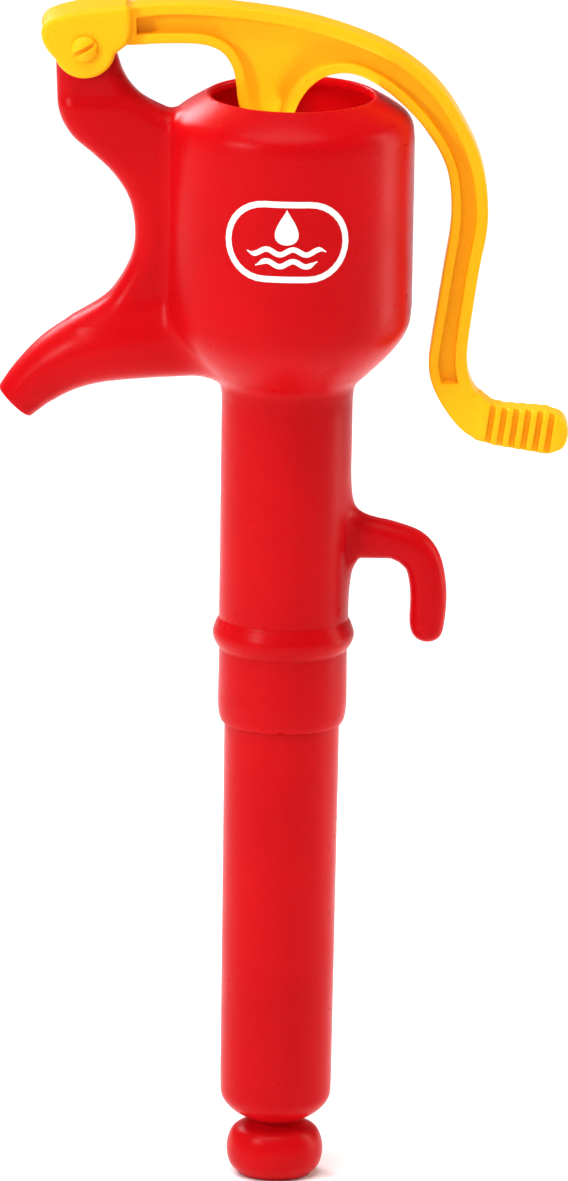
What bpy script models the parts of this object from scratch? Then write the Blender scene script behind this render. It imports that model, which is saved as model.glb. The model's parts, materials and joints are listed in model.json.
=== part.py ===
"""A child's hand pump for water play.

A blow-moulded barrel carries a horn, a spout and a hook. A suction tube snaps into its lower end. A moulded
lever turns on the horn and works a piston through a slotted clevis. All sizes are in metres and +Z is up. The
origin is on the barrel's axis at the underside of the foot, -X is towards the spout and +X towards the grip.
"""

import math

import bmesh
import bpy
from mathutils import Matrix, Vector

# Driving dimensions
WALL = 0.0020  # blown wall
GAP = 0.0003  # running or assembly gap between two pieces
PIVOT = Vector((-0.0860, 0.0, 0.4815))  # lever's hinge, along Y
CRANK_RADIUS = 0.0900  # from the lever's hinge to the pin at the leg's tip
CRANK_REST = math.radians(-30)  # the leg pin's angle when the grip is down
LIFT = math.radians(52)  # how far the lever opens before its stop meets the horn
HEAD_RADIUS = 0.0509
BORE_RADIUS = 0.0252  # barrel bore, in which the piston runs
FIN_HALF = 0.0110  # half thickness of the horn's web
HORN_HALF = 0.0095  # half thickness of the horn inside the lever's fork
FORK_INNER = 0.0100
FORK_OUTER = 0.0130
LEVER_HALF = 0.0070
WEB_HALF = 0.0020
HOOK_HALF = 0.0075
ROUND = 32  # sides of the large turned pieces
FINE = 20  # sides of the small turned pieces

PIN_RADIUS = 0.0030
BUSH_RADIUS = 0.0050
CLEVIS_INNER = 0.0045
CLEVIS_OUTER = 0.0076
ROD_RADIUS = 0.0040
NUT_LOW, NUT_HIGH = 0.2460, 0.2500
PISTON_TOP = 0.2626
FLAP_LIFT = 0.0030
SEAL_SEAT = 0.0230
SEAL_LOW, SEAL_TOP = 0.2040, 0.2100
NECK_BORE = 0.0092
STRAINER_BORE = 0.0100
BALL_RADIUS = 0.0075
BALL_LIFT = 0.0080

PIN = PIVOT + CRANK_RADIUS * Vector((math.cos(CRANK_REST), 0.0, math.sin(CRANK_REST)))

# Outlines, as (x or radius, z). Every one is drawn through with a smooth path.
SHOULDER = [
    (0.0350, 0.4620),
    (0.0392, 0.4611),
    (0.0430, 0.4589),
    (0.0467, 0.4554),
    (0.0496, 0.4508),
    (HEAD_RADIUS, 0.4450),
]
HEAD_BASE = [
    (HEAD_RADIUS, 0.3720),
    (0.0500, 0.3652),
    (0.0470, 0.3590),
    (0.0414, 0.3520),
    (0.0340, 0.3446),
    (0.0285, 0.3390),
    (0.0272, 0.3330),
]
BEAD = [
    (0.0269, 0.2390),
    (0.0284, 0.2358),
    (0.0294, 0.2318),
    (0.0284, 0.2284),
    (0.0266, 0.2256),
]
SOCKET_LIP = [(0.0268, 0.2030), (0.0263, 0.1975), (0.0249, 0.1934)]
FIN_INNER_EDGE = [
    (-0.0360, 0.4480),
    (-0.0524, 0.4542),
    (-0.0607, 0.4585),
    (-0.0662, 0.4635),
    (-0.0700, 0.4695),
    (-0.0718, 0.4745),
]
FIN_OUTER_EDGE = [
    (-0.0979, 0.4780),
    (-0.0974, 0.4650),
    (-0.0962, 0.4530),
    (-0.0909, 0.4431),
    (-0.0812, 0.4347),
    (-0.0727, 0.4263),
    (-0.0665, 0.4160),
    (-0.0641, 0.4030),
    (-0.0655, 0.3910),
    (-0.0715, 0.3792),
    (-0.0789, 0.3705),
    (-0.0870, 0.3630),
]
FIN_ROOT = [(-0.0760, 0.3560), (-0.0360, 0.3580)]
SPOUT_PATH = [
    (-0.0340, 0.3580, 0.0165),
    (-0.0600, 0.3560, 0.0163),
    (-0.0780, 0.3532, 0.0156),
    (-0.0920, 0.3473, 0.0137),
    (-0.1040, 0.3382, 0.0112),
    (-0.1132, 0.3284, 0.0090),
]
HOOK_TOP = [
    (0.0255, 0.2960),
    (0.0272, 0.2880),
    (0.0340, 0.2826),
    (0.0460, 0.2796),
    (0.0575, 0.2750),
    (0.0645, 0.2660),
    (0.0674, 0.2520),
    (0.0669, 0.2385),
    (0.0650, 0.2316),
    (0.0600, 0.2292),
    (0.0546, 0.2312),
    (0.0522, 0.2370),
    (0.0523, 0.2490),
    (0.0508, 0.2590),
    (0.0475, 0.2630),
]
HOOK_SEAT = [(0.0440, 0.2646), (0.0310, 0.2646)]
HOOK_BASE = [(0.0272, 0.2600), (0.0255, 0.2530)]
LEVER_TOP = [
    (-0.0790, 0.4940),
    (-0.0640, 0.4986),
    (-0.0450, 0.5000),
    (-0.0200, 0.4984),
    (0.0020, 0.4952),
    (0.0220, 0.4898),
    (0.0400, 0.4825),
    (0.0540, 0.4730),
    (0.0640, 0.4625),
    (0.0712, 0.4510),
    (0.0768, 0.4395),
    (0.0802, 0.4275),
    (0.0817, 0.4140),
    (0.0810, 0.4030),
    (0.0787, 0.3905),
    (0.0762, 0.3730),
    (0.0742, 0.3560),
    (0.0745, 0.3455),
    (0.0776, 0.3378),
    (0.0835, 0.3320),
    (0.0900, 0.3300),
]
GRIP_END = [
    (0.1070, 0.3290),
    (0.1135, 0.3262),
    (0.1158, 0.3205),
    (0.1140, 0.3145),
    (0.1080, 0.3118),
]
LEVER_UNDER = [
    (0.0860, 0.3152),
    (0.0761, 0.3184),
    (0.0700, 0.3234),
    (0.0640, 0.3315),
    (0.0598, 0.3400),
    (0.0582, 0.3480),
    (0.0590, 0.3570),
    (0.0612, 0.3720),
    (0.0635, 0.3880),
    (0.0660, 0.4050),
    (0.0664, 0.4165),
    (0.0651, 0.4285),
    (0.0617, 0.4380),
    (0.0561, 0.4468),
    (0.0500, 0.4543),
    (0.0400, 0.4633),
    (0.0300, 0.4694),
    (0.0216, 0.4714),
    (0.0133, 0.4697),
    (0.0076, 0.4656),
    (0.0037, 0.4605),
    (0.0012, 0.4550),
    (-0.0007, 0.4490),
]
LEVER_FRONT = [
    (-0.0186, 0.4480),
    (-0.0211, 0.4540),
    (-0.0226, 0.4600),
    (-0.0234, 0.4665),
    (-0.0252, 0.4737),
    (-0.0298, 0.4797),
    (-0.0380, 0.4826),
    (-0.0520, 0.4828),
    (-0.0680, 0.4818),
    (-0.0790, 0.4822),
]
FORK_LOBE = [
    (-0.0985, 0.4770),
    (-0.1015, 0.4805),
    (-0.1036, 0.4848),
    (-0.1038, 0.4890),
    (-0.1016, 0.4925),
    (-0.0960, 0.4950),
    (-0.0860, 0.4974),
    (-0.0740, 0.4990),
]
FORK_RIGHT = [
    (-0.0684, 0.4996),
    (-0.0672, 0.4960),
    (-0.0670, 0.4880),
    (-0.0682, 0.4832),
]

# Colours, as linear RGB
RED = (0.72, 0.012, 0.016)
YELLOW = (0.95, 0.55, 0.03)
RUBBER = (0.02, 0.02, 0.02)
NATURAL = (0.80, 0.80, 0.76)


# Paths in the XZ plane


def smooth(points, steps=2):
    """Points along a Catmull-Rom curve through the given ones."""
    knots = [Vector(p) for p in points]
    knots = [2 * knots[0] - knots[1], *knots, 2 * knots[-1] - knots[-2]]
    path = []
    for a, b, c, d in zip(knots, knots[1:], knots[2:], knots[3:]):
        for step in range(steps):
            t = step / steps
            bend = 2 * a - 5 * b + 4 * c - d
            twist = 3 * (b - c) + d - a
            path.append(0.5 * (2 * b + (c - a) * t + bend * t**2 + twist * t**3))
    path.append(knots[-2])
    return path


def offset(path, distance):
    """The path moved sideways, to the right of its direction."""
    moved = []
    for index, point in enumerate(path):
        before = path[max(index - 1, 0)]
        after = path[min(index + 1, len(path) - 1)]
        along = (after - before).normalized()
        moved.append(point + distance * Vector((along.y, -along.x)))
    return moved


def arc(centre, radius, start, end, steps):
    """Points round a centre, from one angle to another in degrees."""
    angles = [math.radians(start + (end - start) * step / steps) for step in range(steps + 1)]
    return [Vector((centre[0] + radius * math.cos(a), centre[1] + radius * math.sin(a))) for a in angles]


def rounded_box(left, right, low, high, radius, steps=4):
    """A rectangle with round corners, anticlockwise."""
    corners = [
        (right - radius, low + radius, -90),
        (right - radius, high - radius, 0),
        (left + radius, high - radius, 90),
        (left + radius, low + radius, 180),
    ]
    points = []
    for x, z, start in corners:
        points += arc((x, z), radius, start, start + 90, steps)
    return points


# Solids


def make_collection(name):
    collection = bpy.data.collections.new(name)
    bpy.context.scene.collection.children.link(collection)
    return collection


def place(name, mesh, collection):
    obj = bpy.data.objects.new(name, mesh)
    collection.objects.link(obj)
    if collection.name == CUTTERS:
        obj.hide_render = True
        obj.display_type = "WIRE"
    return obj


def turned(name, profile, sides=ROUND, collection=None):
    """A solid turned about Z. The profile runs down the outer side, and closes on the axis or on itself."""
    points = [(p[0], 0.0, p[1]) for p in profile]
    count = len(points)
    open_ends = points[0][0] == 0 and points[-1][0] == 0
    edges = [(i, (i + 1) % count) for i in range(count - open_ends)]
    mesh = bpy.data.meshes.new(name)
    mesh.from_pydata(points, edges, [])
    obj = place(name, mesh, collection or parts)
    screw = obj.modifiers.new("turn", "SCREW")
    screw.axis = "Z"
    screw.steps = sides
    screw.render_steps = sides
    screw.use_merge_vertices = True
    screw.merge_threshold = 0.00001
    screw.use_smooth_shade = True
    return obj


def disc(name, radius, low, high, sides=FINE, collection=None):
    return turned(name, [(0, high), (radius, high), (radius, low), (0, low)], sides, collection)


def ring(name, inner, outer, low, high, sides=FINE, collection=None):
    profile = [(inner, high), (outer, high), (outer, low), (inner, low)]
    return turned(name, profile, sides, collection)


def mesh_from_curve(name, curve, turn, collection):
    """A closed mesh made from a curve object, with its caps welded."""
    source = bpy.data.objects.new(name + "_curve", curve)
    bpy.context.scene.collection.objects.link(source)
    bpy.context.view_layer.update()
    graph = bpy.context.evaluated_depsgraph_get()
    mesh = bpy.data.meshes.new_from_object(source.evaluated_get(graph))
    bpy.data.objects.remove(source)
    mesh.transform(turn)
    shape = bmesh.new()
    shape.from_mesh(mesh)
    bmesh.ops.remove_doubles(shape, verts=shape.verts, dist=0.00001)
    bmesh.ops.recalc_face_normals(shape, faces=shape.faces)
    shape.to_mesh(mesh)
    shape.free()
    mesh.name = name
    return place(name, mesh, collection or parts)


def plate(name, outline, half, collection=None, centre=0.0):
    """A flat outline in the XZ plane, half as thick on each side of y = centre."""
    curve = bpy.data.curves.new(name, "CURVE")
    curve.dimensions = "2D"
    curve.fill_mode = "BOTH"
    curve.extrude = half
    spline = curve.splines.new("POLY")
    spline.points.add(len(outline) - 1)
    for point, (x, z) in zip(spline.points, outline):
        point.co = (x, z, 0, 1)
    spline.use_cyclic_u = True
    turn = Matrix.Translation((0, centre, 0)) @ Matrix.Rotation(math.pi / 2, 4, "X")
    return mesh_from_curve(name, curve, turn, collection)


def tapered_tube(name, path, collection=None):
    """A round bar along (x, z, radius) points."""
    curve = bpy.data.curves.new(name, "CURVE")
    curve.dimensions = "3D"
    curve.bevel_depth = 1.0
    curve.bevel_resolution = 6
    curve.use_fill_caps = True
    spline = curve.splines.new("POLY")
    spline.points.add(len(path) - 1)
    for point, (x, z, radius) in zip(spline.points, path):
        point.co = (x, 0, z, 1)
        point.radius = radius
    return mesh_from_curve(name, curve, Matrix.Identity(4), collection)


def cube(name, low, high, collection=None):
    """A box between two corners."""
    mesh = bpy.data.meshes.new(name)
    shape = bmesh.new()
    bmesh.ops.create_cube(shape, size=1)
    size = Vector(high) - Vector(low)
    middle = (Vector(high) + Vector(low)) / 2
    shape.transform(Matrix.Translation(middle) @ Matrix.Diagonal((*size, 1)))
    shape.to_mesh(mesh)
    shape.free()
    return place(name, mesh, collection or parts)


def lay_along_y(obj, x, z):
    """Turns a piece made about Z so that its axis runs along +Y through (x, z)."""
    obj.location = (x, 0, z)
    obj.rotation_euler = (-math.pi / 2, 0, 0)
    return obj


def combine(obj, other, operation):
    """One Boolean step between closed meshes. On these long flat faces the exact solver leaves slivers."""
    step = obj.modifiers.new(f"{operation.lower()}_{other.name}", "BOOLEAN")
    step.object = other
    step.operation = operation
    step.solver = "MANIFOLD"


def cut(obj, *others):
    for other in others:
        combine(obj, other, "DIFFERENCE")


def join(obj, *others):
    for other in others:
        combine(obj, other, "UNION")


def paint(obj, colour, roughness):
    material = bpy.data.materials.new(obj.name)
    material.use_nodes = True
    shader = material.node_tree.nodes["Principled BSDF"]
    shader.inputs["Base Color"].default_value = (*colour, 1)
    shader.inputs["Roughness"].default_value = roughness
    material.diffuse_color = (*colour, 1)
    obj.data.materials.append(material)


def joint_empty(name, location, children):
    """An empty on a joint's axis, which the moving pieces hang from."""
    empty = bpy.data.objects.new(name, None)
    parts.objects.link(empty)
    empty.location = location
    bpy.context.view_layer.update()
    for child in children:
        child.parent = empty
        child.matrix_parent_inverse = empty.matrix_world.inverted()
    return empty


# The barrel and what is moulded with it


def barrel_profile():
    """The outside of the head, barrel and socket, down from the lip."""
    return [
        *smooth(SHOULDER, 2),
        *smooth(HEAD_BASE, 2),
        *smooth(BEAD, 1),
        *smooth(SOCKET_LIP, 2),
    ]


def barrel_bore():
    """The inside, down from above the lip to below the socket."""
    above, below = 0.475, 0.188
    lip = 0.0322
    groove = 0.0275
    socket_mouth = 0.0243
    inside = [*offset(smooth(SHOULDER, 2)[2:], WALL), *offset(smooth(HEAD_BASE, 2), WALL)]
    return [
        (0, above),
        (lip, above),
        (lip, inside[0].y + 0.0010),
        *inside,
        (BORE_RADIUS, 0.2400),
        (groove, 0.2350),
        (groove, 0.2295),
        (BORE_RADIUS, 0.2250),
        (BORE_RADIUS, 0.1980),
        (socket_mouth, 0.1962),
        (socket_mouth, below),
        (0, below),
    ]


def fin_outline():
    lobe = arc((PIVOT.x, PIVOT.z), 0.0122, -5, 175, 10)
    return [*smooth(FIN_INNER_EDGE, 2), *lobe, *smooth(FIN_OUTER_EDGE, 2), *smooth(FIN_ROOT, 1)]


def spout(name, slimmer, longer, collection):
    path = [Vector((x, z, radius - slimmer)) for x, z, radius in smooth(SPOUT_PATH, 2)]
    if longer:
        path.append(path[-1] + longer * (path[-1] - path[-2]).normalized())
    return tapered_tube(name, path, collection)


def make_upper_body():
    profile = barrel_profile()
    body = turned("upper_body", [(0, profile[0].y), *profile, (0, profile[-1].y)])
    fin = plate("fin", fin_outline(), FIN_HALF, cutters)
    for side in (-1, 1):
        low_y, high_y = sorted((side * HORN_HALF, side * 0.02))
        cut(fin, cube(f"fork_relief_{side}", (-0.13, low_y, 0.4600), (-0.04, high_y, 0.52), cutters))
    hook_outline = [*smooth(HOOK_TOP, 2), *smooth(HOOK_SEAT, 1), *smooth(HOOK_BASE, 1)]
    hook = plate("hook", hook_outline, HOOK_HALF, cutters)
    join(body, fin, spout("spout", 0.0, 0.0, cutters), hook)

    core = turned("barrel_core", barrel_bore(), collection=cutters)
    fin_core = plate("fin_core", offset(fin_outline(), -WALL), HORN_HALF - WALL, cutters)
    join(core, fin_core, spout("spout_core", WALL, 0.006, cutters))
    bush_bore = disc("bush_bore", BUSH_RADIUS + GAP, -0.02, 0.02, collection=cutters)
    cut(body, core, lay_along_y(bush_bore, PIVOT.x, PIVOT.z))
    paint(body, RED, 0.25)
    return body


def make_lower_tube():
    """The suction tube: snap bead at the top, seal groove, waisted neck and round foot."""
    tube_radius = 0.0239
    outside = [
        (0.0218, 0.2425),
        (tube_radius, 0.2425),
        (tube_radius, 0.2370),
        (0.0270, 0.2335),
        (0.0270, 0.2312),
        (tube_radius, 0.2270),
        (tube_radius, SEAL_TOP),
        (SEAL_SEAT, SEAL_TOP),
        (SEAL_SEAT, SEAL_LOW),
        (tube_radius, SEAL_LOW),
        (tube_radius, 0.1920),
    ]
    foot = smooth([(0.0231, 0.0400), (0.0224, 0.0330), (0.0181, 0.0276), (0.0118, 0.0238)], 2)
    bulb = smooth([(0.0122, 0.0226), (0.0178, 0.0186), (0.0200, 0.0115), (0.0188, 0.0045), (0.0150, 0)], 2)
    bulb_inside = [
        (STRAINER_BORE, 0),
        (STRAINER_BORE, 0.0040),
        (0.0160, 0.0056),
        (0.0178, 0.0115),
        (0.0158, 0.0172),
    ]
    neck_inside = [
        (NECK_BORE, 0.0215),
        (NECK_BORE, 0.0255),
        (0.0160, 0.0296),
        (0.0203, 0.0345),
        (0.0210, 0.0410),
    ]
    tube = turned("lower_tube", [*outside, *foot, *bulb, *bulb_inside, *neck_inside])
    paint(tube, RED, 0.25)
    return tube


def make_socket_seal():
    seal = ring("socket_seal", SEAL_SEAT + GAP, BORE_RADIUS - GAP, SEAL_LOW + GAP, SEAL_TOP - GAP, ROUND)
    paint(seal, RUBBER, 0.6)
    return seal


# Foot valve


def drilled(obj, holes, hole_radius, circle_radius, low, high):
    """Cuts a ring of holes parallel to Z."""
    for index in range(holes):
        angle = 2 * math.pi * index / holes
        hole = disc(f"{obj.name}_hole_{index}", hole_radius, low, high, 10, cutters)
        hole.location = (circle_radius * math.cos(angle), circle_radius * math.sin(angle), 0)
        cut(obj, hole)


def spider(name, rim_inner, rim_outer, rim, hub_radius, hub, arms=3):
    """A rim and a hub joined by arms. The rim and the hub are (low, high) pairs."""
    wheel = ring(name, rim_inner, rim_outer, *rim, ROUND)
    join(wheel, disc(name + "_hub", hub_radius, *hub, collection=cutters))
    arm_half = 0.0022
    reach = (rim_inner + rim_outer) / 2
    for index in range(arms):
        arm = cube(f"{name}_arm_{index}", (0, -arm_half, hub[0]), (reach, arm_half, hub[1]), cutters)
        arm.rotation_euler = (0, 0, 2 * math.pi * index / arms)
        join(wheel, arm)
    return wheel


def make_foot_valve():
    strainer = disc("intake_strainer", STRAINER_BORE - GAP, 0, 0.0034, ROUND)
    drilled(strainer, 6, 0.0017, 0.0062, -0.001, 0.005)
    paint(strainer, NATURAL, 0.4)

    sleeve = NECK_BORE - GAP
    seat_hole = 0.0055
    seat_top = 0.0275
    seat = turned(
        "ball_seat",
        [
            (seat_hole, seat_top),
            (0.0115, seat_top),
            (sleeve, 0.0262),
            (sleeve, 0.0216),
            (seat_hole, 0.0216),
        ],
        FINE,
    )
    paint(seat, NATURAL, 0.4)

    shape = bmesh.new()
    bmesh.ops.create_uvsphere(shape, u_segments=16, v_segments=10, radius=BALL_RADIUS)
    sphere = bpy.data.meshes.new("foot_ball")
    shape.to_mesh(sphere)
    shape.free()
    sphere.shade_smooth()
    ball = place("foot_ball", sphere, parts)
    ball_z = seat_top + math.sqrt(BALL_RADIUS**2 - seat_hole**2) + GAP
    ball.location = (0, 0, ball_z)
    paint(ball, RUBBER, 0.5)

    stop_low = ball_z + BALL_RADIUS + BALL_LIFT + GAP
    stop_span = (stop_low, stop_low + 0.003)
    stop = spider("ball_stop", 0.0172, 0.0206, stop_span, 0.005, stop_span)
    paint(stop, NATURAL, 0.4)
    return ball


# Lever


def pocket_outline():
    """The recess between the lever's flanges, from the fork to the grip and down the leg."""
    fork_end, grip_end, leg_end = -0.0600, 0.3400, 0.4580
    top = [p for p in offset(smooth(LEVER_TOP), 0.0045) if p.x > fork_end and p.y > grip_end]
    under = offset(smooth(LEVER_UNDER), 0.0038)
    arch = [p for p in under if p.y > (grip_end if p.x > 0.03 else leg_end)]
    front = [p for p in offset(smooth(LEVER_FRONT), 0.0038) if p.x > fork_end and p.y > leg_end]
    return [*top, *arch, *front]


def make_grip():
    """A thick round-ended bar with a row of slanted ribs."""
    ribs, pitch, rib_width, slant = 7, 0.0050, 0.0033, math.radians(8)
    first = Vector((0.0815, 0, 0.3226))
    last = Vector((0.0815 + (ribs - 1) * pitch, 0, 0.3207))
    shape = bmesh.new()
    for index in range(ribs):
        made = bmesh.ops.create_cube(shape, size=1)["verts"]
        turn = Matrix.Translation(first.lerp(last, index / (ribs - 1))) @ Matrix.Rotation(slant, 4, "Y")
        size = Matrix.Diagonal((rib_width, 2 * LEVER_HALF + 0.0016, 0.0192 - 0.0003 * index, 1))
        bmesh.ops.transform(shape, matrix=turn @ size, verts=made)
    mesh = bpy.data.meshes.new("grip_ribs")
    shape.to_mesh(mesh)
    shape.free()
    return place("grip_ribs", mesh, cutters)


def fork_slot_outline():
    """The space that the horn needs between the fork's plates: a round hollow, open down and to the left.

    The material left above it on the left is the lever's upper stop.
    """
    hollow = 0.0135
    horn_side = 0.0119  # from the hinge to the horn's left side, which the stop meets
    spare = 1.5  # degrees left when the lever is fully up
    contact_angle = 180 + math.degrees(math.acos(horn_side / hollow))
    stop_angle = contact_angle - math.degrees(LIFT) - spare
    far = 0.030
    centre = Vector((PIVOT.x, PIVOT.z))
    round_part = arc(centre, hollow, 0, stop_angle, 16)
    stop_face = arc(centre, far, stop_angle, stop_angle, 1)[:1]
    return [*round_part, *stop_face, centre + Vector((-far, -far)), centre + Vector((hollow, -far))]


def make_lever():
    tip = arc((PIN.x, PIN.z), 0.0070, 20, -200, 12)
    outline = [
        *smooth(LEVER_TOP),
        *smooth(GRIP_END),
        *smooth(LEVER_UNDER),
        *tip,
        *smooth(LEVER_FRONT),
    ]
    lever = plate("lever", outline, LEVER_HALF)
    lobe = arc((PIVOT.x, PIVOT.z), 0.0130, -10, -160, 8)
    fork = plate("fork", [*smooth(FORK_LOBE, 2), *smooth(FORK_RIGHT, 2), *lobe], FORK_OUTER, cutters)
    join(lever, fork, make_grip())

    pocket_half = 0.004
    tongue_half = 0.0040
    for side in (-1, 1):
        centre = side * (WEB_HALF + pocket_half)
        cut(lever, plate(f"pocket_{side}", pocket_outline(), pocket_half, cutters, centre))
        relief = disc(f"tongue_relief_{side}", 0.0195, tongue_half, 0.02, ROUND, cutters)
        lay_along_y(relief, PIN.x, PIN.z)
        if side < 0:
            relief.rotation_euler = (math.pi / 2, 0, 0)
        cut(lever, relief)
    cut(lever, plate("fork_slot", fork_slot_outline(), FORK_INNER, cutters))
    for name, place_at in (("pivot", PIVOT), ("pin", PIN)):
        bore = disc(f"{name}_bore", PIN_RADIUS + GAP, -0.02, 0.02, collection=cutters)
        cut(lever, lay_along_y(bore, place_at.x, place_at.z))
    paint(lever, YELLOW, 0.35)
    return lever


def dome(radius, height, base, steps=5):
    """A shallow dome's profile, from its top on the axis down to its edge."""
    angles = [math.pi / 2 * step / steps for step in range(steps + 1)]
    return [(radius * math.sin(a), base + height * math.cos(a)) for a in angles]


def make_pivot_pieces():
    """A slotted screw through the fork, its cap nut at the back, and the bush that it turns in."""
    face = FORK_OUTER + GAP
    head_height = 0.0028
    shank_end = 0.0160
    shank = [(PIN_RADIUS, face), (PIN_RADIUS, -shank_end), (0, -shank_end)]
    profile = [*dome(0.0054, head_height, face), *shank]
    screw = turned("pivot_screw", profile, FINE)
    slot = cube("screw_slot", (-0.0080, -0.00065, face + 0.0013), (0.0080, 0.00065, face + 0.005), cutters)
    cut(screw, slot)
    for piece in (screw, slot):
        piece.location = (PIVOT.x, 0, PIVOT.z)
        piece.rotation_euler = (math.pi / 2, 0, 0)
    slot.rotation_euler = (math.pi / 2, -math.radians(30), 0)
    paint(screw, YELLOW, 0.35)

    bore = PIN_RADIUS + GAP
    cap = [*dome(0.0058, 0.0042, face), (bore, face), (bore, shank_end + GAP), (0, shank_end + GAP)]
    nut = lay_along_y(turned("pivot_nut", cap, FINE), PIVOT.x, PIVOT.z)
    paint(nut, YELLOW, 0.35)

    bush = ring("pivot_bush", bore, BUSH_RADIUS, -HORN_HALF, HORN_HALF)
    lay_along_y(bush, PIVOT.x, PIVOT.z)
    paint(bush, NATURAL, 0.4)
    return [screw, nut]


def make_leg_pin():
    """The pin at the leg's tip, headed in front and held by a push-on cap behind."""
    cheek = CLEVIS_OUTER + GAP
    head = 0.0054
    spigot = 0.0024
    profile = [
        (0, cheek + 0.0020),
        (head, cheek + 0.0020),
        (head, cheek),
        (PIN_RADIUS, cheek),
        (PIN_RADIUS, -cheek),
        (spigot, -cheek),
        (spigot, -cheek - 0.0022),
        (0, -cheek - 0.0022),
    ]
    pin = turned("leg_pin", profile, FINE)
    pin.location = (PIN.x, 0, PIN.z)
    pin.rotation_euler = (math.pi / 2, 0, 0)
    paint(pin, NATURAL, 0.4)
    low = cheek + GAP
    cap = lay_along_y(ring("leg_pin_cap", spigot + GAP, head, low, low + 0.0026), PIN.x, PIN.z)
    paint(cap, NATURAL, 0.4)
    return [pin, cap]


# Rod and piston


def make_clevis():
    """Two cheeks with a cross slot in each. The slot lets the leg's pin swing while the rod runs straight."""
    slot_half = 0.0042
    rim = 0.0030
    swing = (1 - math.cos(CRANK_REST)) * CRANK_RADIUS
    slot_left = PIN.x - PIN_RADIUS - 0.0006
    slot_right = PIN.x + swing + PIN_RADIUS + 0.0006
    floor = PIN.z - 0.0086
    top = PIN.z + slot_half + rim
    left, right = slot_left - rim, slot_right + rim
    clevis = plate("rod_clevis", rounded_box(left, right, floor - 0.004, top, 0.004), CLEVIS_OUTER)
    collar = disc("clevis_collar", 0.0075, floor - 0.014, floor - 0.001, collection=cutters)
    join(clevis, collar)
    cut(clevis, cube("clevis_gap", (-0.03, -CLEVIS_INNER, floor), (0.03, CLEVIS_INNER, top + 0.01), cutters))
    slot = rounded_box(slot_left, slot_right, PIN.z - slot_half, PIN.z + slot_half, slot_half - 0.0001)
    cut(clevis, plate("cross_slot", slot, 0.02, cutters))
    rod_end = floor - 0.0030
    cut(clevis, disc("rod_socket", ROD_RADIUS + GAP, floor - 0.02, rod_end + GAP, collection=cutters))
    paint(clevis, NATURAL, 0.4)

    thread = 0.0030
    rod_profile = [
        (0, rod_end),
        (ROD_RADIUS, rod_end),
        (ROD_RADIUS, PISTON_TOP + GAP),
        (thread, PISTON_TOP + GAP),
        (thread, NUT_LOW - 0.0010),
        (0, NUT_LOW - 0.0010),
    ]
    rod = turned("piston_rod", rod_profile, FINE)
    paint(rod, NATURAL, 0.4)
    return [clevis, rod]


def make_piston():
    """Plate with ports, lip seal round its edge, a spider that clamps the seal, and the nut below."""
    bore = 0.0033
    plate_low, plate_high = NUT_HIGH + GAP, NUT_HIGH + 0.0043
    flap_low = plate_high + GAP
    flap_high = flap_low + 0.0015
    hub_low = flap_high + FLAP_LIFT + GAP
    disc_profile = [
        (bore, hub_low - GAP),
        (0.0050, hub_low - GAP),
        (0.0050, plate_high),
        (0.0235, plate_high),
        (0.0235, plate_low),
        (bore, plate_low),
    ]
    base = turned("piston_plate", disc_profile, ROUND)
    drilled(base, 6, 0.0026, 0.0105, plate_low - 0.001, plate_high + 0.001)
    paint(base, NATURAL, 0.4)

    cup_profile = [
        (0.0172, flap_low + 0.0025),
        (0.0226, flap_low + 0.0025),
        (0.0236, flap_low + 0.0098),
        (BORE_RADIUS - GAP, flap_low + 0.0098),
        (BORE_RADIUS - GAP, flap_low + 0.0070),
        (0.0240, flap_low),
        (0.0172, flap_low),
    ]
    cup = turned("piston_cup", cup_profile, ROUND)
    paint(cup, RUBBER, 0.6)

    rim = (flap_low + 0.0025 + GAP, PISTON_TOP)
    retainer = spider("cup_retainer", 0.0173, 0.0221, rim, 0.0070, (hub_low, PISTON_TOP))
    cut(retainer, disc("retainer_bore", bore, hub_low - 0.001, PISTON_TOP + 0.001, collection=cutters))
    paint(retainer, NATURAL, 0.4)

    flap = ring("piston_flap", 0.0054, 0.0160, flap_low, flap_high)
    paint(flap, RUBBER, 0.6)

    nut = ring("piston_nut", bore, 0.0063, NUT_LOW, NUT_HIGH, 6)
    nut.modifiers["turn"].use_smooth_shade = False
    cutter = disc("nut_bore", bore, NUT_LOW - 0.001, NUT_HIGH + 0.001, 20, cutters)
    cut(nut, cutter)
    paint(nut, NATURAL, 0.4)
    return [base, cup, retainer, nut], flap


CUTTERS = "hand_pump_cutters"
for old in list(bpy.data.objects):
    bpy.data.objects.remove(old)
parts = make_collection("hand_pump")
cutters = make_collection(CUTTERS)

make_upper_body()
make_lower_tube()
make_socket_seal()
foot_ball = make_foot_valve()
lever_pieces = [make_lever(), *make_pivot_pieces(), *make_leg_pin()]
rod_pieces = make_clevis()
piston_pieces, piston_flap = make_piston()

joint_empty("lever_pivot", PIVOT, lever_pieces)
flap_guide = joint_empty("flap_guide", (0, 0, NUT_HIGH), [piston_flap])
joint_empty("piston_guide", (0, 0, NUT_HIGH), [*rod_pieces, *piston_pieces, flap_guide])
joint_empty("ball_guide", (0, 0, 0.03), [foot_ball])
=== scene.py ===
"""The looks of a child's hand pump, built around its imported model.

Lengths are in metres, in the model's frame: +Z up, +X towards the grip, -X towards the spout. The picture is
taken from -Y.

The blown body, the lever, the screw and the clevis are modelled as distance fields, so that their joins and
edges come out rounded as a moulding's do. Each field is then turned into a mesh of its surface.
"""

import math

import json

import bmesh
import bpy
import numpy as np
import openvdb
from mathutils import Matrix, Vector


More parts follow.
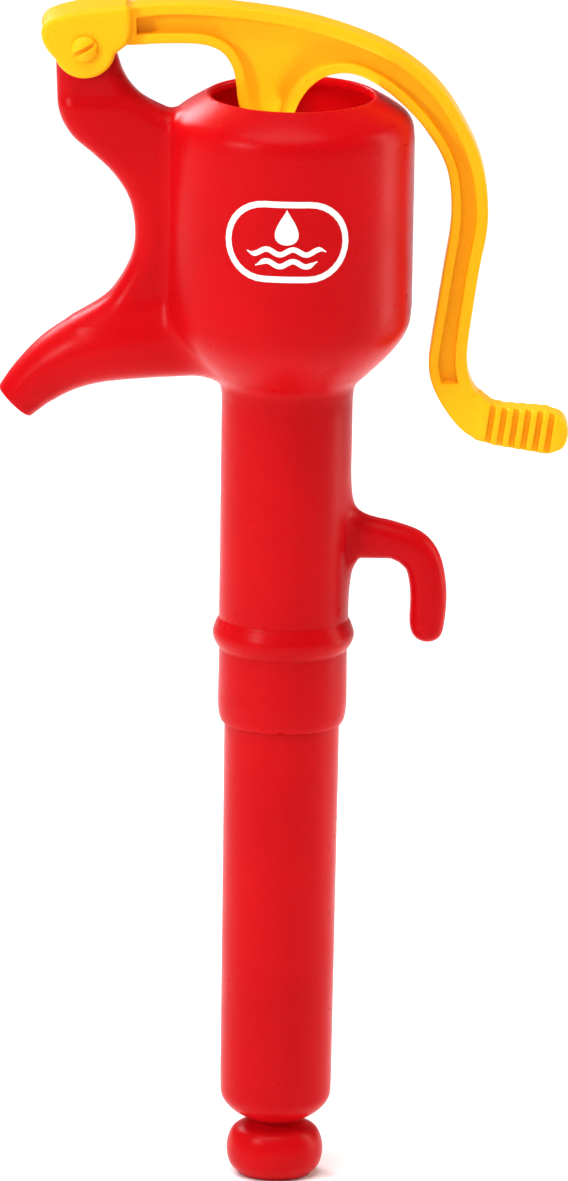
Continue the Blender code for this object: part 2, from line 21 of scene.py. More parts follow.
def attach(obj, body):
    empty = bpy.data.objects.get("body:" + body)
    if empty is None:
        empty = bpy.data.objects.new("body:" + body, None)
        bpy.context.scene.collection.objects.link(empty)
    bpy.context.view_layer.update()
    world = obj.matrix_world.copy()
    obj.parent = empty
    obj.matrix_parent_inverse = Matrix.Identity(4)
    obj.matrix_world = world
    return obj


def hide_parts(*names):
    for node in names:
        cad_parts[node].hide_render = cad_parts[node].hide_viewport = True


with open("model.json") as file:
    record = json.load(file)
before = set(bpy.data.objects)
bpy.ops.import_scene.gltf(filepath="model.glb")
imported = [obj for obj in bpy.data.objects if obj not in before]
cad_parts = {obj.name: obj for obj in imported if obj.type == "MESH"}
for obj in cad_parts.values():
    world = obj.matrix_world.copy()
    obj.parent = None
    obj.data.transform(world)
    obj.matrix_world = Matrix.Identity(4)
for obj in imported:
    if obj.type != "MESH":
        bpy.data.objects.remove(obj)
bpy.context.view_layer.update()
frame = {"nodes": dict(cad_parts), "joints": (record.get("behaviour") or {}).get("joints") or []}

joint = {j["name"]: j for j in frame["joints"]}
PIVOT = Vector(joint["lever_lift"]["pos_m"])
PIN_REACH = 0.0900  # from the pivot to the pin in the lever's leg
PIN_SLOPE = math.radians(30)  # how far that line falls from the level at rest
PIN = Vector((PIVOT.x + PIN_REACH * math.cos(PIN_SLOPE), 0, PIVOT.z - PIN_REACH * math.sin(PIN_SLOPE)))
PIN_RADIUS = 0.0030
GAP = 0.0003  # between pieces that touch

HEAD_RADIUS = 0.0509
BARREL_BORE = 0.0252
WALL = 0.0020
PIVOT_BORE = 0.0053
HORN_STEP = (0.4610, 0.4550)  # heights between which the fin thickens, below the fork
MARK_CENTRE = (-0.0014, 0.4099)  # distance round the head from its front, and height

# Half thicknesses along Y
FIN_HALF = 0.0110
HORN_HALF = 0.0095
HOOK_HALF = 0.0075
LEVER_HALF = 0.0070
LEVER_WEB_HALF = 0.0020
LEVER_TONGUE_HALF = 0.0040
GRIP_HALF = 0.0078
FORK_HALF = 0.0130
FORK_SLOT_HALF = 0.0100
CLEVIS_HALF = 0.0076
CLEVIS_GAP_HALF = 0.0045

# The grip's left end is at this X at the middle of its height. The end and the grooves lean to the right.
GRIP_START = 0.0790
GRIP_MIDDLE = 0.3220
GRIP_SLANT = 0.14
GROOVE_SLANT = math.tan(math.radians(8))

# Turned pieces are made upright. These lay one along Y, with its top to the back or to the front.
LAY_BACK = Matrix.Rotation(-math.pi / 2, 4, "X")
LAY_FRONT = Matrix.Rotation(math.pi / 2, 4, "X")

# Outlines in the XZ plane, or (radius, z) for turned shapes. A smooth path runs through each.
SHOULDER = [
    (0.0352, 0.4612),
    (0.0400, 0.4585),
    (0.0446, 0.4556),
    (0.0480, 0.4529),
    (0.0501, 0.4493),
    (HEAD_RADIUS, 0.4444),
]
HEAD_BASE = [
    (HEAD_RADIUS, 0.3720),
    (0.0500, 0.3652),
    (0.0470, 0.3590),
    (0.0414, 0.3520),
    (0.0340, 0.3446),
    (0.0285, 0.3390),
    (0.0272, 0.3330),
]
BEAD = [(0.0269, 0.2390), (0.0284, 0.2358), (0.0294, 0.2318), (0.0284, 0.2284), (0.0266, 0.2256)]
SOCKET_LIP = [(0.0268, 0.2030), (0.0263, 0.1975), (0.0249, 0.1934)]
FIN_INNER_EDGE = [
    (-0.0360, 0.4480),
    (-0.0524, 0.4542),
    (-0.0607, 0.4585),
    (-0.0662, 0.4635),
    (-0.0700, 0.4695),
    (-0.0718, 0.4745),
]
FIN_OUTER_EDGE = [
    (-0.0979, 0.4780),
    (-0.0974, 0.4650),
    (-0.0962, 0.4530),
    (-0.0909, 0.4431),
    (-0.0812, 0.4347),
    (-0.0727, 0.4263),
    (-0.0665, 0.4160),
    (-0.0641, 0.4030),
    (-0.0655, 0.3910),
    (-0.0715, 0.3792),
    (-0.0789, 0.3705),
    (-0.0870, 0.3630),
]
FIN_ROOT = [(-0.0760, 0.3560), (-0.0360, 0.3580)]
SPOUT_PATH = [
    (-0.0340, 0.3580, 0.0165),
    (-0.0600, 0.3560, 0.0163),
    (-0.0780, 0.3532, 0.0156),
    (-0.0920, 0.3473, 0.0137),
    (-0.1040, 0.3382, 0.0112),
    (-0.1132, 0.3284, 0.0090),
]
HOOK_TOP = [
    (0.0230, 0.3000),
    (0.0272, 0.2880),
    (0.0340, 0.2826),
    (0.0460, 0.2796),
    (0.0575, 0.2750),
    (0.0645, 0.2660),
    (0.0674, 0.2520),
    (0.0669, 0.2385),
    (0.0650, 0.2316),
    (0.0600, 0.2292),
    (0.0546, 0.2312),
    (0.0522, 0.2370),
    (0.0523, 0.2490),
    (0.0508, 0.2590),
    (0.0475, 0.2630),
]
HOOK_SEAT = [(0.0440, 0.2646), (0.0310, 0.2646)]
HOOK_BASE = [(0.0272, 0.2600), (0.0230, 0.2480)]
LEVER_TOP = [
    (-0.0790, 0.4940),
    (-0.0640, 0.4986),
    (-0.0450, 0.5000),
    (-0.0200, 0.4984),
    (0.0020, 0.4952),
    (0.0220, 0.4898),
    (0.0400, 0.4825),
    (0.0540, 0.4730),
    (0.0640, 0.4625),
    (0.0712, 0.4510),
    (0.0768, 0.4395),
    (0.0802, 0.4275),
    (0.0817, 0.4140),
    (0.0810, 0.4030),
    (0.0787, 0.3905),
    (0.0762, 0.3730),
    (0.0742, 0.3560),
    (0.0745, 0.3455),
    (0.0776, 0.3378),
    (0.0835, 0.3320),
    (0.0900, 0.3300),
]
GRIP_END = [
    (0.1070, 0.3290),
    (0.1135, 0.3262),
    (0.1158, 0.3205),
    (0.1140, 0.3145),
    (0.1080, 0.3118),
]
LEVER_UNDER = [
    (0.0860, 0.3152),
    (0.0761, 0.3184),
    (0.0700, 0.3234),
    (0.0640, 0.3315),
    (0.0598, 0.3400),
    (0.0582, 0.3480),
    (0.0590, 0.3570),
    (0.0612, 0.3720),
    (0.0635, 0.3880),
    (0.0660, 0.4050),
    (0.0664, 0.4165),
    (0.0651, 0.4285),
    (0.0617, 0.4380),
    (0.0561, 0.4468),
    (0.0500, 0.4543),
    (0.0400, 0.4633),
    (0.0300, 0.4694),
    (0.0216, 0.4714),
    (0.0133, 0.4697),
    (0.0076, 0.4656),
    (0.0037, 0.4605),
    (0.0012, 0.4550),
    (-0.0007, 0.4490),
]
LEVER_FRONT = [
    (-0.0186, 0.4480),
    (-0.0211, 0.4540),
    (-0.0226, 0.4600),
    (-0.0234, 0.4665),
    (-0.0252, 0.4737),
    (-0.0298, 0.4797),
    (-0.0380, 0.4826),
    (-0.0520, 0.4828),
    (-0.0680, 0.4818),
    (-0.0790, 0.4822),
]
FORK_LOBE = [
    (-0.0985, 0.4770),
    (-0.1015, 0.4805),
    (-0.1036, 0.4848),
    (-0.1038, 0.4890),
    (-0.1016, 0.4925),
    (-0.0960, 0.4950),
    (-0.0860, 0.4974),
    (-0.0740, 0.4990),
]
FORK_RIGHT = [(-0.0684, 0.4996), (-0.0672, 0.4960), (-0.0670, 0.4880), (-0.0682, 0.4832)]


# Paths


def smooth(points, steps=8):
    """Points along a Catmull-Rom curve through the given ones."""
    knots = np.array(points, float)
    knots = np.vstack([2 * knots[0] - knots[1], knots, 2 * knots[-1] - knots[-2]])
    path = []
    for a, b, c, d in zip(knots, knots[1:], knots[2:], knots[3:]):
        for t in np.arange(steps) / steps:
            bend = 2 * a - 5 * b + 4 * c - d
            twist = 3 * (b - c) + d - a
            path.append(0.5 * (2 * b + (c - a) * t + bend * t**2 + twist * t**3))
    path.append(knots[-2])
    return np.array(path)


def offset(path, distance):
    """The path moved sideways, to the right of its direction."""
    along = np.gradient(path, axis=0)
    along /= np.linalg.norm(along, axis=1)[:, None]
    return path + distance * np.column_stack([along[:, 1], -along[:, 0]])


def arc(centre, radius, start, end, steps=24):
    """Points round a centre, from one angle to another in degrees."""
    angle = np.radians(np.linspace(start, end, steps + 1))
    return np.column_stack([centre[0] + radius * np.cos(angle), centre[1] + radius * np.sin(angle)])


def rounded_box(left, right, low, high, radius):
    """A rectangle with round corners, anticlockwise."""
    return np.vstack(
        [
            arc((right - radius, low + radius), radius, -90, 0, 8),
            arc((right - radius, high - radius), radius, 0, 90, 8),
            arc((left + radius, high - radius), radius, 90, 180, 8),
            arc((left + radius, low + radius), radius, 180, 270, 8),
        ]
    )


def subdivided(path, longest):
    """The path with points added, so that no step is longer than this."""
    points = [path[0]]
    for start, end in zip(path, path[1:]):
        steps = max(1, math.ceil(np.linalg.norm(end - start) / longest))
        points += [start + (end - start) * step / steps for step in range(1, steps + 1)]
    return np.array(points)


def rounded_edge(corner, radius, start):
    """A quarter turn round a corner of a profile, clockwise from an angle in degrees."""
    return [tuple(point) for point in arc(corner, radius, start, start - 90, 6)]


# Distance fields. Each takes points and gives how far they are outside a shape, or less than 0 inside it.


class Outline:
    """Distance to a closed outline in a plane, read from a table."""

    def __init__(self, points, step=0.0004, margin=0.012):
        points = np.asarray(points, float)
        self.step = step
        self.low = points.min(0) - margin
        counts = np.ceil((np.ptp(points, axis=0) + 2 * margin) / step).astype(int) + 1
        sides = [low + step * np.arange(n) for low, n in zip(self.low, counts)]
        u, v = np.meshgrid(*sides, indexing="ij")
        nearest = np.full(u.shape, np.inf)
        inside = np.zeros(u.shape, bool)
        for (au, av), (bu, bv) in zip(points, np.roll(points, -1, axis=0)):
            du, dv = bu - au, bv - av
            length = du * du + dv * dv
            if length < 1e-16:
                continue
            t = np.clip(((u - au) * du + (v - av) * dv) / length, 0, 1)
            nearest = np.minimum(nearest, (u - au - t * du) ** 2 + (v - av - t * dv) ** 2)
            if dv:
                inside ^= ((av > v) != (bv > v)) & (u < au + du * (v - av) / dv)
        self.table = np.sqrt(nearest) * np.where(inside, -1, 1)
        self.high = self.low + step * (counts - 1)

    def __call__(self, u, v):
        cu = np.clip(u, self.low[0], self.high[0] - 1e-9)
        cv = np.clip(v, self.low[1], self.high[1] - 1e-9)
        fu, fv = (cu - self.low[0]) / self.step, (cv - self.low[1]) / self.step
        iu = np.minimum(fu.astype(int), self.table.shape[0] - 2)
        iv = np.minimum(fv.astype(int), self.table.shape[1] - 2)
        fu, fv = fu - iu, fv - iv
        low = self.table[iu, iv] * (1 - fu) + self.table[iu + 1, iv] * fu
        high = self.table[iu, iv + 1] * (1 - fu) + self.table[iu + 1, iv + 1] * fu
        return low * (1 - fv) + high * fv + np.hypot(u - cu, v - cv)


def slab(flat, thick, edge):
    """A flat shape given a thickness, with edges of this radius. Both are distances, negative inside."""
    a, b = flat + edge, thick + edge
    return np.minimum(np.maximum(a, b), 0) + np.hypot(np.maximum(a, 0), np.maximum(b, 0)) - edge


def joined(a, b, fillet):
    """The union of two fields with a fillet between them."""
    blend = np.maximum(fillet - np.abs(a - b), 0) / fillet
    return np.minimum(a, b) - blend * blend * fillet / 4


def without(a, b, edge):
    """The first field less the second, with the new edge rounded."""
    return -joined(-a, b, edge)


def ramp(value, start, end):
    """From 0 at start to 1 at end, eased at both."""
    t = np.clip((value - start) / (end - start), 0, 1)
    return t * t * (3 - 2 * t)


class Bar:
    """Distance to a round bar along a path of (x, z, radius) in the plane y = 0, read from tables."""

    def __init__(self, path, step=0.0004, margin=0.030):
        self.step = step
        self.low = path[:, :2].min(0) - margin
        counts = np.ceil((np.ptp(path[:, :2], axis=0) + 2 * margin) / step).astype(int) + 1
        self.last = counts - 2
        sides = [low + step * np.arange(n) for low, n in zip(self.low, counts)]
        x, z = np.meshgrid(*sides, indexing="ij")
        away = np.full(x.shape, np.inf)
        thickness = np.zeros(x.shape)
        for (ax, az, ar), (bx, bz, br) in zip(path, path[1:]):
            dx, dz = bx - ax, bz - az
            t = np.clip(((x - ax) * dx + (z - az) * dz) / (dx * dx + dz * dz), 0, 1)
            distance = np.hypot(x - ax - t * dx, z - az - t * dz)
            closer = distance < away
            away = np.where(closer, distance, away)
            thickness = np.where(closer, ar + t * (br - ar), thickness)
        self.tables = np.stack([away, thickness], axis=-1)

    def __call__(self, p):
        place = (p[:, ::2] - self.low) / self.step
        cell = np.clip(place.astype(int), 0, self.last)
        t = place - cell
        corner = [self.tables[cell[:, 0] + i, cell[:, 1] + j] for i in (0, 1) for j in (0, 1)]
        tx, tz = t[:, :1], t[:, 1:]
        near = corner[0] * (1 - tz) + corner[1] * tz
        far = corner[2] * (1 - tz) + corner[3] * tz
        away, thickness = (near * (1 - tx) + far * tx).T
        return np.hypot(away, p[:, 1]) - thickness


# Meshes


def new_object(name, mesh):
    obj = bpy.data.objects.new(name, mesh)
    bpy.context.scene.collection.objects.link(obj)
    return obj


def mesh_of(name, points, *face_sets):
    """A smooth mesh from points and sets of triangles or quads."""
    loops = np.concatenate([faces.ravel() for faces in face_sets])
    sizes = np.concatenate([np.full(len(faces), faces.shape[1]) for faces in face_sets])
    mesh = bpy.data.meshes.new(name)
    mesh.vertices.add(len(points))
    mesh.vertices.foreach_set("co", points.astype(np.float32).ravel())
    mesh.loops.add(len(loops))
    mesh.loops.foreach_set("vertex_index", loops.astype(np.int32))
    mesh.polygons.add(len(sizes))
    mesh.polygons.foreach_set("loop_start", (np.cumsum(sizes) - sizes).astype(np.int32))
    mesh.update(calc_edges=True)
    mesh.shade_smooth()
    return mesh


def slope(field, points, reach=0.0003):
    """The field's direction of steepest rise."""
    sides = [field(points + reach * axis) - field(points - reach * axis) for axis in np.eye(3)]
    rise = np.column_stack(sides)
    return rise / np.maximum(np.linalg.norm(rise, axis=1), 1e-9)[:, None]


def skin(name, field, low, high, voxel):
    """A smooth mesh of the field's surface, inside the box from low to high.

    The field is worked out for coarse blocks first, and for single voxels only in the blocks near the surface.
    """
    block = 4  # voxels along a side of the coarse blocks that find the surface
    found_within = 1.3 * block
    reach = 3.0  # voxels to which the values are limited
    merge = 0.02  # how readily flat stretches share one face
    rounds, longest_move = 2, 0.3 * voxel
    low = np.array(low)
    blocks = np.ceil((np.array(high) - low) / (voxel * block)).astype(int)
    corners = np.argwhere(np.ones(blocks, bool))
    coarse = field(low + (corners + 0.5) * block * voxel) / voxel
    values = np.clip(coarse, -reach, reach).reshape(blocks)
    near = (np.abs(coarse) < found_within).reshape(blocks)
    for axis in range(3):
        values = values.repeat(block, axis=axis)
        near = near.repeat(block, axis=axis)
    cells = np.argwhere(near)
    values[near] = np.clip(field(low + (cells + 0.5) * voxel) / voxel, -reach, reach)
    grid = openvdb.FloatGrid()
    grid.background = reach
    grid.copyFromArray(values.astype(np.float32))
    grid.gridClass = openvdb.GridClass.LEVEL_SET
    points, triangles, quads = grid.convertToPolygons(isovalue=0.0, adaptivity=merge)
    points = low + (points.astype(float) + 0.5) * voxel
    for _ in range(rounds):
        points -= np.clip(field(points), -longest_move, longest_move)[:, None] * slope(field, points)
    mesh = mesh_of(name, points, triangles[:, ::-1], quads[:, ::-1])
    mesh.normals_split_custom_set_from_vertices(slope(field, points))
    return new_object(name, mesh)


def turned(name, profile, sides, along=None):
    """A solid turned about Z, then taken to (a point, a rotation). The profile runs down the outer side."""
    count = len(profile)
    solid_core = profile[0][0] == 0 and profile[-1][0] == 0
    mesh = bpy.data.meshes.new(name)
    edges = [(i, (i + 1) % count) for i in range(count - solid_core)]
    mesh.from_pydata([(r, 0.0, z) for r, z in profile], edges, [])
    obj = new_object(name, mesh)
    screw = obj.modifiers.new("turn", "SCREW")
    screw.steps = sides
    screw.render_steps = sides
    screw.use_merge_vertices = True
    screw.merge_threshold = 0.000001
    graph = bpy.context.evaluated_depsgraph_get()
    solid = bpy.data.meshes.new_from_object(obj.evaluated_get(graph))
    obj.modifiers.clear()
    obj.data = solid
    if along:
        point, turn = along
        solid.transform(Matrix.Translation(point) @ turn)
    solid.shade_smooth()
    solid.set_sharp_from_angle(angle=math.radians(40))
    return obj


# The blown body


def barrel_outline():
    """The outside of the head, barrel and socket, as (radius, z), closed beyond the axis."""
    side = np.vstack([smooth(SHOULDER), smooth(HEAD_BASE), smooth(BEAD), smooth(SOCKET_LIP)])
    beyond = -0.02
    return np.vstack([(beyond, side[0][1]), side, (beyond, side[-1][1])])


def bore_outline():
    """The inside, from above the mouth to below the socket."""
    beyond, above, below = -0.02, 0.475, 0.188
    mouth = 0.0338
    groove = 0.0275
    socket_mouth = 0.0243
    wall = np.vstack([offset(smooth(SHOULDER)[8:], WALL), offset(smooth(HEAD_BASE), WALL)])
    return np.vstack(
        [
            (beyond, above),
            (mouth, above),
            (mouth, wall[0][1] + 0.0010),
            wall,
            (BARREL_BORE, 0.2400),
            (groove, 0.2350),
            (groove, 0.2295),
            (BARREL_BORE, 0.2250),
            (BARREL_BORE, 0.1980),
            (socket_mouth, 0.1962),
            (socket_mouth, below),
            (beyond, below),
        ]
    )


def fin_outline():
    """The fin from the head out to the horn's round end, and down to the spout."""
    lobe = arc(PIVOT.xz, 0.0122, -5, 175)
    return np.vstack([smooth(FIN_INNER_EDGE), lobe, smooth(FIN_OUTER_EDGE), smooth(FIN_ROOT)])


def spout_path(slimmer=0.0):
    """The spout's centre line, run on past its mouth."""
    path = smooth(SPOUT_PATH, 16)
    path = np.vstack([path, 11 * path[-1] - 10 * path[-2]])
    path[:, 2] -= slimmer
    return path


def make_body():
    """The shell with its fin and horn, spout and hook. It is open at the mouth, spout, socket and pivot."""
    fin_edge, hook_edge, core_edge, lip_edge, rim_edge = 0.0075, 0.0062, 0.0050, 0.0014, 0.0016
    fin_fillet, spout_fillet, hook_fillet, inner_fillet = 0.0040, 0.0070, 0.0050, 0.0030
    barrel = Outline(barrel_outline())
    bore = Outline(bore_outline())
    fin = Outline(fin_outline())
    hook = Outline(np.vstack([smooth(HOOK_TOP), smooth(HOOK_SEAT), smooth(HOOK_BASE)]))
    path = spout_path()
    spout_outside, spout_inside = Bar(path), Bar(spout_path(WALL))
    mouth = np.array([SPOUT_PATH[-1][0], 0, SPOUT_PATH[-1][1]])
    way_out = np.array([path[-1][0] - path[-2][0], 0, path[-1][1] - path[-2][1]])
    way_out /= np.linalg.norm(way_out)

    def field(p):
        radius = np.hypot(p[:, 0], p[:, 1])
        depth = np.abs(p[:, 1])
        fin_half = HORN_HALF + (FIN_HALF - HORN_HALF) * ramp(p[:, 2], *HORN_STEP)
        fin_plane = fin(p[:, 0], p[:, 2])
        solid = joined(barrel(radius, p[:, 2]), slab(fin_plane, depth - fin_half, fin_edge), fin_fillet)
        spout = without(spout_outside(p), -((p - mouth) @ way_out), lip_edge)
        solid = joined(solid, spout, spout_fillet)
        solid = joined(solid, slab(hook(p[:, 0], p[:, 2]), depth - HOOK_HALF, hook_edge), hook_fillet)
        core = slab(fin_plane + WALL, depth - HORN_HALF + WALL, core_edge)
        hollow = joined(bore(radius, p[:, 2]), core, inner_fillet)
        hollow = joined(hollow, spout_inside(p), inner_fillet)
        hollow = np.minimum(hollow, np.hypot(p[:, 0] - PIVOT.x, p[:, 2] - PIVOT.z) - PIVOT_BORE)
        return without(solid, hollow, rim_edge)

    body = skin("pump_shell", field, (-0.1230, -0.0544, 0.1900), (0.0700, 0.0544, 0.4970), 0.0008)
    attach(body, "pump_body")
    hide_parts("upper_body")
    return body


# The lever


def lever_outline():
    """The beam and grip with the leg, whose tip is round the pin."""
    tip = arc(PIN.xz, 0.0070, 20, -200)
    return np.vstack([smooth(LEVER_TOP), smooth(GRIP_END), smooth(LEVER_UNDER), tip, smooth(LEVER_FRONT)])


def pocket_outline():
    """The recess between the lever's flanges, from the fork to the grip and down the leg."""
    fork_end, grip_end, leg_end = -0.0660, 0.3400, 0.4495
    top = offset(smooth(LEVER_TOP), 0.0050)
    top = top[(top[:, 0] > fork_end) & (top[:, 1] > grip_end)]
    under = offset(smooth(LEVER_UNDER), 0.0042)
    under = under[under[:, 1] > np.where(under[:, 0] > 0.03, grip_end, leg_end)]
    front = offset(smooth(LEVER_FRONT), 0.0042)
    front = front[(front[:, 0] > fork_end) & (front[:, 1] > leg_end)]
    return np.vstack([top, under, front])


def fork_slot_outline():
    """The space that the horn needs between the fork's plates, open down and to the left."""
    hollow, far, stop_angle = 0.0135, 0.030, 154.7
    stop_face = arc(PIVOT.xz, far, stop_angle, stop_angle, 0)
    below = [(PIVOT.x - far, PIVOT.z - far), (PIVOT.x + hollow, PIVOT.z - far)]
    return np.vstack([arc(PIVOT.xz, hollow, 0, stop_angle), stop_face, below])


def grooves(p):
    """Slanted grooves across both faces of the grip, between its ribs."""
    pitch, width, floor = 0.0050, 0.0022, 0.0052
    first_x, last = 0.0840, 5
    along = (p[:, 0] - first_x - GROOVE_SLANT * (p[:, 2] - GRIP_MIDDLE)) / pitch
    nearest = np.clip(np.round(along), 0, last)
    across = np.abs(along - nearest) * pitch - width / 2
    return slab(across, floor - np.abs(p[:, 1]), 0.0)


def make_lever():
    """A beam with a web between flanges, a fork at its left end, a leg and a thicker grip."""
    beam_edge, grip_edge, floor_edge, fork_edge = 0.0012, 0.0034, 0.0006, 0.0022
    flange_edge, cut_edge, bore_edge = 0.0012, 0.0008, 0.0004
    grip_fillet, fork_fillet = 0.0030, 0.0012
    tongue_reach = 0.0195  # round the pin, the leg is thin enough for the clevis
    beam = Outline(lever_outline())
    pocket = Outline(pocket_outline())
    lobe = arc(PIVOT.xz, 0.0130, -10, -160)
    fork = Outline(np.vstack([smooth(FORK_LOBE), smooth(FORK_RIGHT), lobe]))
    fork_slot = Outline(fork_slot_outline())
    bore = PIN_RADIUS + GAP

    def field(p):
        x, depth, z = p[:, 0], np.abs(p[:, 1]), p[:, 2]
        edge = beam(x, z)
        solid = slab(edge, depth - LEVER_HALF, beam_edge)
        before_grip = GRIP_START + GRIP_SLANT * (z - GRIP_MIDDLE) - x
        grip = slab(np.maximum(edge, before_grip), depth - GRIP_HALF, grip_edge)
        solid = joined(solid, grip, grip_fillet)
        solid = without(solid, grooves(p), cut_edge)
        solid = without(solid, slab(pocket(x, z), LEVER_WEB_HALF - depth, floor_edge), flange_edge)
        solid = joined(solid, slab(fork(x, z), depth - FORK_HALF, fork_edge), fork_fillet)
        from_pin = np.hypot(x - PIN.x, z - PIN.z)
        solid = without(solid, slab(from_pin - tongue_reach, LEVER_TONGUE_HALF - depth, 0.0), cut_edge)
        solid = without(solid, slab(fork_slot(x, z), depth - FORK_SLOT_HALF, 0.0), cut_edge)
        holes = np.minimum(from_pin, np.hypot(x - PIVOT.x, z - PIVOT.z)) - bore
        return without(solid, holes, bore_edge)

    lever = skin("pump_lever", field, (-0.1050, -0.0138, 0.3080), (0.1180, 0.0138, 0.5020), 0.0006)
    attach(lever, "lever_arm")
    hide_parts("lever")
    return lever


# Small moulded pieces


def make_screw():
    """The slotted screw through the fork, with its slot turned up to the right."""
    face = -FORK_HALF - GAP
    radius, height, crown, edge = 0.0055, 0.0034, 0.0085, 0.0008
    slot_turn, slot_half, slot_floor, slot_edge = math.radians(30), 0.0009, 0.0009, 0.0004
    shank_start, shank_end, shank_edge = face - 0.0010, 0.0160, 0.0003

    def field(p):
        x, y, z = p[:, 0] - PIVOT.x, p[:, 1], p[:, 2] - PIVOT.z
        from_axis = np.hypot(x, z)
        ball = np.sqrt(from_axis**2 + (y - face + height - crown) ** 2) - crown
        head = slab(from_axis - radius, np.maximum(ball, y - face), edge)
        across = np.abs(x * math.sin(slot_turn) - z * math.cos(slot_turn)) - slot_half
        head = without(head, np.maximum(across, y - face + slot_floor), slot_edge)
        shank = slab(from_axis - PIN_RADIUS, np.maximum(shank_start - y, y - shank_end), shank_edge)
        return joined(head, shank, slot_edge)

    reach = Vector((radius + 0.0010, 0.0170, radius + 0.0010))
    screw = skin("slotted_screw", field, PIVOT - reach, PIVOT + reach, 0.00025)
    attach(screw, "lever_arm")
    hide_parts("pivot_screw")
    return screw


def make_clevis():
    """Two cheeks with a cross slot in each, on a round collar. The slots take up the pin's side swing."""
    slot_half, slot_play, rim = 0.0042, 0.0006, 0.0030
    block_edge, gap_edge, slot_edge, bore_edge = 0.0010, 0.0010, 0.0008, 0.0004
    collar_radius, collar_edge, collar_fillet = 0.0075, 0.0008, 0.0020
    rod_bore = 0.0043
    swing = PIN_REACH * (1 - math.cos(PIN_SLOPE))
    slot_left = PIN.x - PIN_RADIUS - slot_play
    slot_right = PIN.x + swing + PIN_RADIUS + slot_play
    floor = PIN.z - 0.0086
    collar_top, collar_base = floor - 0.0010, floor - 0.0140
    bore_top = floor - 0.0027
    top = PIN.z + slot_half + rim
    block = Outline(rounded_box(slot_left - rim, slot_right + rim, floor - 0.004, top, 0.004), 0.0003)
    slot_low, slot_high = PIN.z - slot_half, PIN.z + slot_half
    slot = Outline(rounded_box(slot_left, slot_right, slot_low, slot_high, slot_half - 0.0001), 0.0003)

    def field(p):
        x, depth, z = p[:, 0], np.abs(p[:, 1]), p[:, 2]
        radius = np.hypot(x, p[:, 1])
        solid = slab(block(x, z), depth - CLEVIS_HALF, block_edge)
        collar = slab(radius - collar_radius, np.maximum(collar_base - z, z - collar_top), collar_edge)
        solid = joined(solid, collar, collar_fillet)
        solid = without(solid, np.maximum(depth - CLEVIS_GAP_HALF, floor - z), gap_edge)
        solid = without(solid, slot(x, z), slot_edge)
        return without(solid, np.maximum(radius - rod_bore, z - bore_top), bore_edge)

    low = (slot_left - 0.0050, -0.0090, collar_base - 0.0015)
    clevis = skin("clevis_fork", field, low, (slot_right + 0.0050, 0.0090, top + 0.0020), 0.0004)
    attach(clevis, "piston")
    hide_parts("rod_clevis")
    return clevis


def make_tube():
    """The suction tube, from its snap bead to its waisted neck and bulb foot. It is open at both ends."""
    outside = 0.0239
    bead = 0.0270
    seal_groove = 0.0230
    shoulder = [
        (0.0218, 0.2425),
        *rounded_edge((outside - 0.0006, 0.2419), 0.0006, 90),
        (outside, 0.2370),
        (bead - 0.0002, 0.2337),
        (bead, 0.2330),
        (bead, 0.2317),
        (bead - 0.0002, 0.2310),
        (outside, 0.2270),
        (outside, 0.2100),
        (seal_groove, 0.2100),
        (seal_groove, 0.2040),
        (outside, 0.2040),
        (outside, 0.1920),
    ]
    taper = [(0.0231, 0.0400), (0.0224, 0.0330)]
    neck = [(0.0181, 0.0276), (0.0118, 0.0238), (0.0122, 0.0226), (0.0178, 0.0186)]
    foot = smooth([*taper, *neck[:2]])
    waist = smooth(neck)[8:-9]
    bulb = smooth([*neck[2:], (0.0200, 0.0115), (0.0188, 0.0045), (0.0150, 0)])
    inside = [
        (0.0100, 0),
        (0.0100, 0.0040),
        *smooth([(0.0160, 0.0056), (0.0178, 0.0115), (0.0158, 0.0172)], 4),
        (0.0092, 0.0215),
        (0.0092, 0.0255),
        *smooth([(0.0160, 0.0296), (0.0203, 0.0345), (0.0210, 0.0410)], 4),
    ]
    tube = turned("suction_tube", [*shoulder, *foot, *waist, *bulb, *inside], 192)
    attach(tube, "pump_body")
    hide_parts("lower_tube")
    return tube


def make_nut():
    """The domed cap nut on the far side of the fork."""
    face = FORK_HALF + GAP
    bore = PIN_RADIUS + GAP
    bore_end = 0.0163
    radius, height = 0.0058, 0.0042
    dome = [(radius * math.sin(t), face + height * math.cos(t)) for t in np.linspace(0, math.pi / 2, 16)]
    nut = turned("cap_nut", [*dome, (bore, face), (bore, bore_end), (0, bore_end)], 64, (PIVOT, LAY_BACK))
    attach(nut, "lever_arm")
    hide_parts("pivot_nut")
    return nut


def make_leg_pin():
    """The headed pin through the clevis and the lever's leg, and the cap pressed on its far end."""
    cheek = CLEVIS_HALF + GAP
    head, head_height, head_edge = 0.0054, 0.0020, 0.0008
    spigot, spigot_length, spigot_edge = 0.0024, 0.0022, 0.0004
    pin_profile = [
        (0, cheek + head_height),
        *rounded_edge((head - head_edge, cheek + head_height - head_edge), head_edge, 90),
        (head, cheek),
        (PIN_RADIUS, cheek),
        (PIN_RADIUS, -cheek),
        (spigot, -cheek),
        (spigot, -cheek - spigot_length + spigot_edge),
        (spigot - spigot_edge, -cheek - spigot_length),
        (0, -cheek - spigot_length),
    ]
    pin = turned("leg_pin_shank", pin_profile, 64, (PIN, LAY_FRONT))
    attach(pin, "lever_arm")
    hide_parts("leg_pin")

    low = cheek + GAP
    cap_height = 0.0026
    cap_profile = [
        (spigot + GAP, low + cap_height),
        *rounded_edge((head - head_edge, low + cap_height - head_edge), head_edge, 90),
        (head, low),
        (spigot + GAP, low),
    ]
    cap = turned("leg_pin_button", cap_profile, 64, (PIN, LAY_BACK))
    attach(cap, "lever_arm")
    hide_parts("leg_pin_cap")
    return pin, cap


